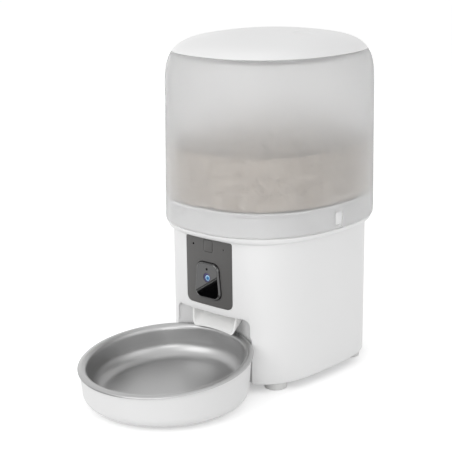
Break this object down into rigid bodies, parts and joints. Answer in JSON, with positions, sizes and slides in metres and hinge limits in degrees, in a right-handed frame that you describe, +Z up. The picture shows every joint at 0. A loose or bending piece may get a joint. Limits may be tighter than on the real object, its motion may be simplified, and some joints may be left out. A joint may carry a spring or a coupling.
{
  "type": "camera pet feeder",
  "caption": "Free-standing pet feeder: frosted food tank with a domed lid on a white base with a camera pod, chute and a slanted steel bowl in a round tray.",
  "frame": {"origin": "on the floor, under the middle of the whole feeder with its bowl", "axes": "+Z up, -Y towards the bowl and the camera, +X to the feeder's left seen from behind, right as one looks at its front"},
  "size_m": [0.176, 0.3258, 0.3224],
  "materials": {
    "lid_white": "satin moulded",
    "frosted_tank": "frosted polymer",
    "body_white": "satin moulded",
    "panel_black": "high gloss",
    "dark_plastic": "matt",
    "lens_glass": "polished",
    "brushed_steel": "brushed",
    "rubber_grey": "matt",
    "silicone": "matt",
    "acetal": "satin",
    "circuit_board": "solder mask",
    "bronze": "sintered",
    "zinc_steel": "zinc plated"
  },
  "bodies": {
    "base": {"base_shell": "body_white", "bottom_plate": "body_white", "foot_1": "rubber_grey", "foot_2": "rubber_grey", "foot_3": "rubber_grey", "foot_4": "rubber_grey", "front_panel": "panel_black", "indicator_lens": "acetal", "microphone": "zinc_steel", "pod_housing": "dark_plastic", "pod_window": "panel_black", "lens_barrel": "dark_plastic", "lens_glass": "lens_glass", "light_sensor": "dark_plastic", "chute": "body_white", "power_inlet": "dark_plastic", "metering_housing": "body_white", "metering_cover": "body_white", "shaft_bush": "bronze", "gear_motor": "zinc_steel", "drive_bracket": "dark_plastic", "inner_frame": "body_white", "main_board": "circuit_board", "button_board": "circuit_board", "camera_board": "circuit_board", "camera_cable": "dark_plastic", "power_cable": "dark_plastic", "speaker": "dark_plastic", "battery_box": "body_white", "battery_1": "zinc_steel", "battery_2": "zinc_steel", "battery_3": "zinc_steel", "base_screw_1": "zinc_steel", "base_screw_2": "zinc_steel", "base_screw_3": "zinc_steel", "base_screw_4": "zinc_steel", "motor_screw_1": "zinc_steel", "motor_screw_2": "zinc_steel"},
    "lid": {"lid_cap": "lid_white", "lid_seal": "silicone", "desiccant_box": "lid_white"},
    "dryer_cover": {"desiccant_cover": "lid_white"},
    "tank": {"hopper_shell": "frosted_tank", "hopper_floor": "body_white"},
    "right_latch": {"latch_right": "body_white"},
    "left_latch": {"latch_left": "body_white"},
    "button": {"feed_button": "dark_plastic"},
    "door": {"battery_door": "body_white"},
    "bowl": {"bowl_tray": "body_white", "steel_bowl": "brushed_steel"},
    "portion_rotor": {"rotor": "silicone", "rotor_shaft": "zinc_steel", "agitator": "acetal", "drive_gear": "acetal"},
    "pinion": {"motor_pinion": "zinc_steel"}
  },
  "joints": [
    {"name": "tank_lift", "type": "slide", "parent": "base", "child": "tank", "axis": [0, 0, 1], "range_m": [0, 0.07]},
    {"name": "lid_lift", "type": "slide", "parent": "tank", "child": "lid", "axis": [0, 0, 1], "range_m": [0, 0.06]},
    {"name": "dryer_twist", "type": "hinge", "parent": "lid", "child": "dryer_cover", "pos_m": [0, 0.06188, 0.2995], "axis": [0, 0, 1], "range_deg": [0, 25]},
    {"name": "right_latch_press", "type": "slide", "parent": "base", "child": "right_latch", "axis": [-1, 0, 0], "range_m": [0, 0.0015], "stiffness_N_per_m": 1500},
    {"name": "left_latch_press", "type": "slide", "parent": "base", "child": "left_latch", "axis": [1, 0, 0], "range_m": [0, 0.0015], "stiffness_N_per_m": 1500},
    {"name": "button_press", "type": "slide", "parent": "base", "child": "button", "axis": [0, 1, 0], "range_m": [0, 0.0008], "stiffness_N_per_m": 1500},
    {"name": "door_slide", "type": "slide", "parent": "base", "child": "door", "axis": [0, 1, 0], "range_m": [0, 0.06]},
    {"name": "bowl_pull", "type": "slide", "parent": "base", "child": "bowl", "axis": [0, -1, 0], "range_m": [0, 0.06]},
    {"name": "rotor_turn", "type": "hinge", "parent": "base", "child": "portion_rotor", "pos_m": [0, 0.06188, 0.12], "axis": [0, 0, 1], "continuous": true},
    {"name": "pinion_turn", "type": "hinge", "parent": "base", "child": "pinion", "pos_m": [0, 0.07968, 0.097], "axis": [0, 0, 1], "continuous": true}
  ],
  "couplings": [
    {"joint": "pinion_turn", "follows": "rotor_turn", "ratio": -2.6667}
  ]
}
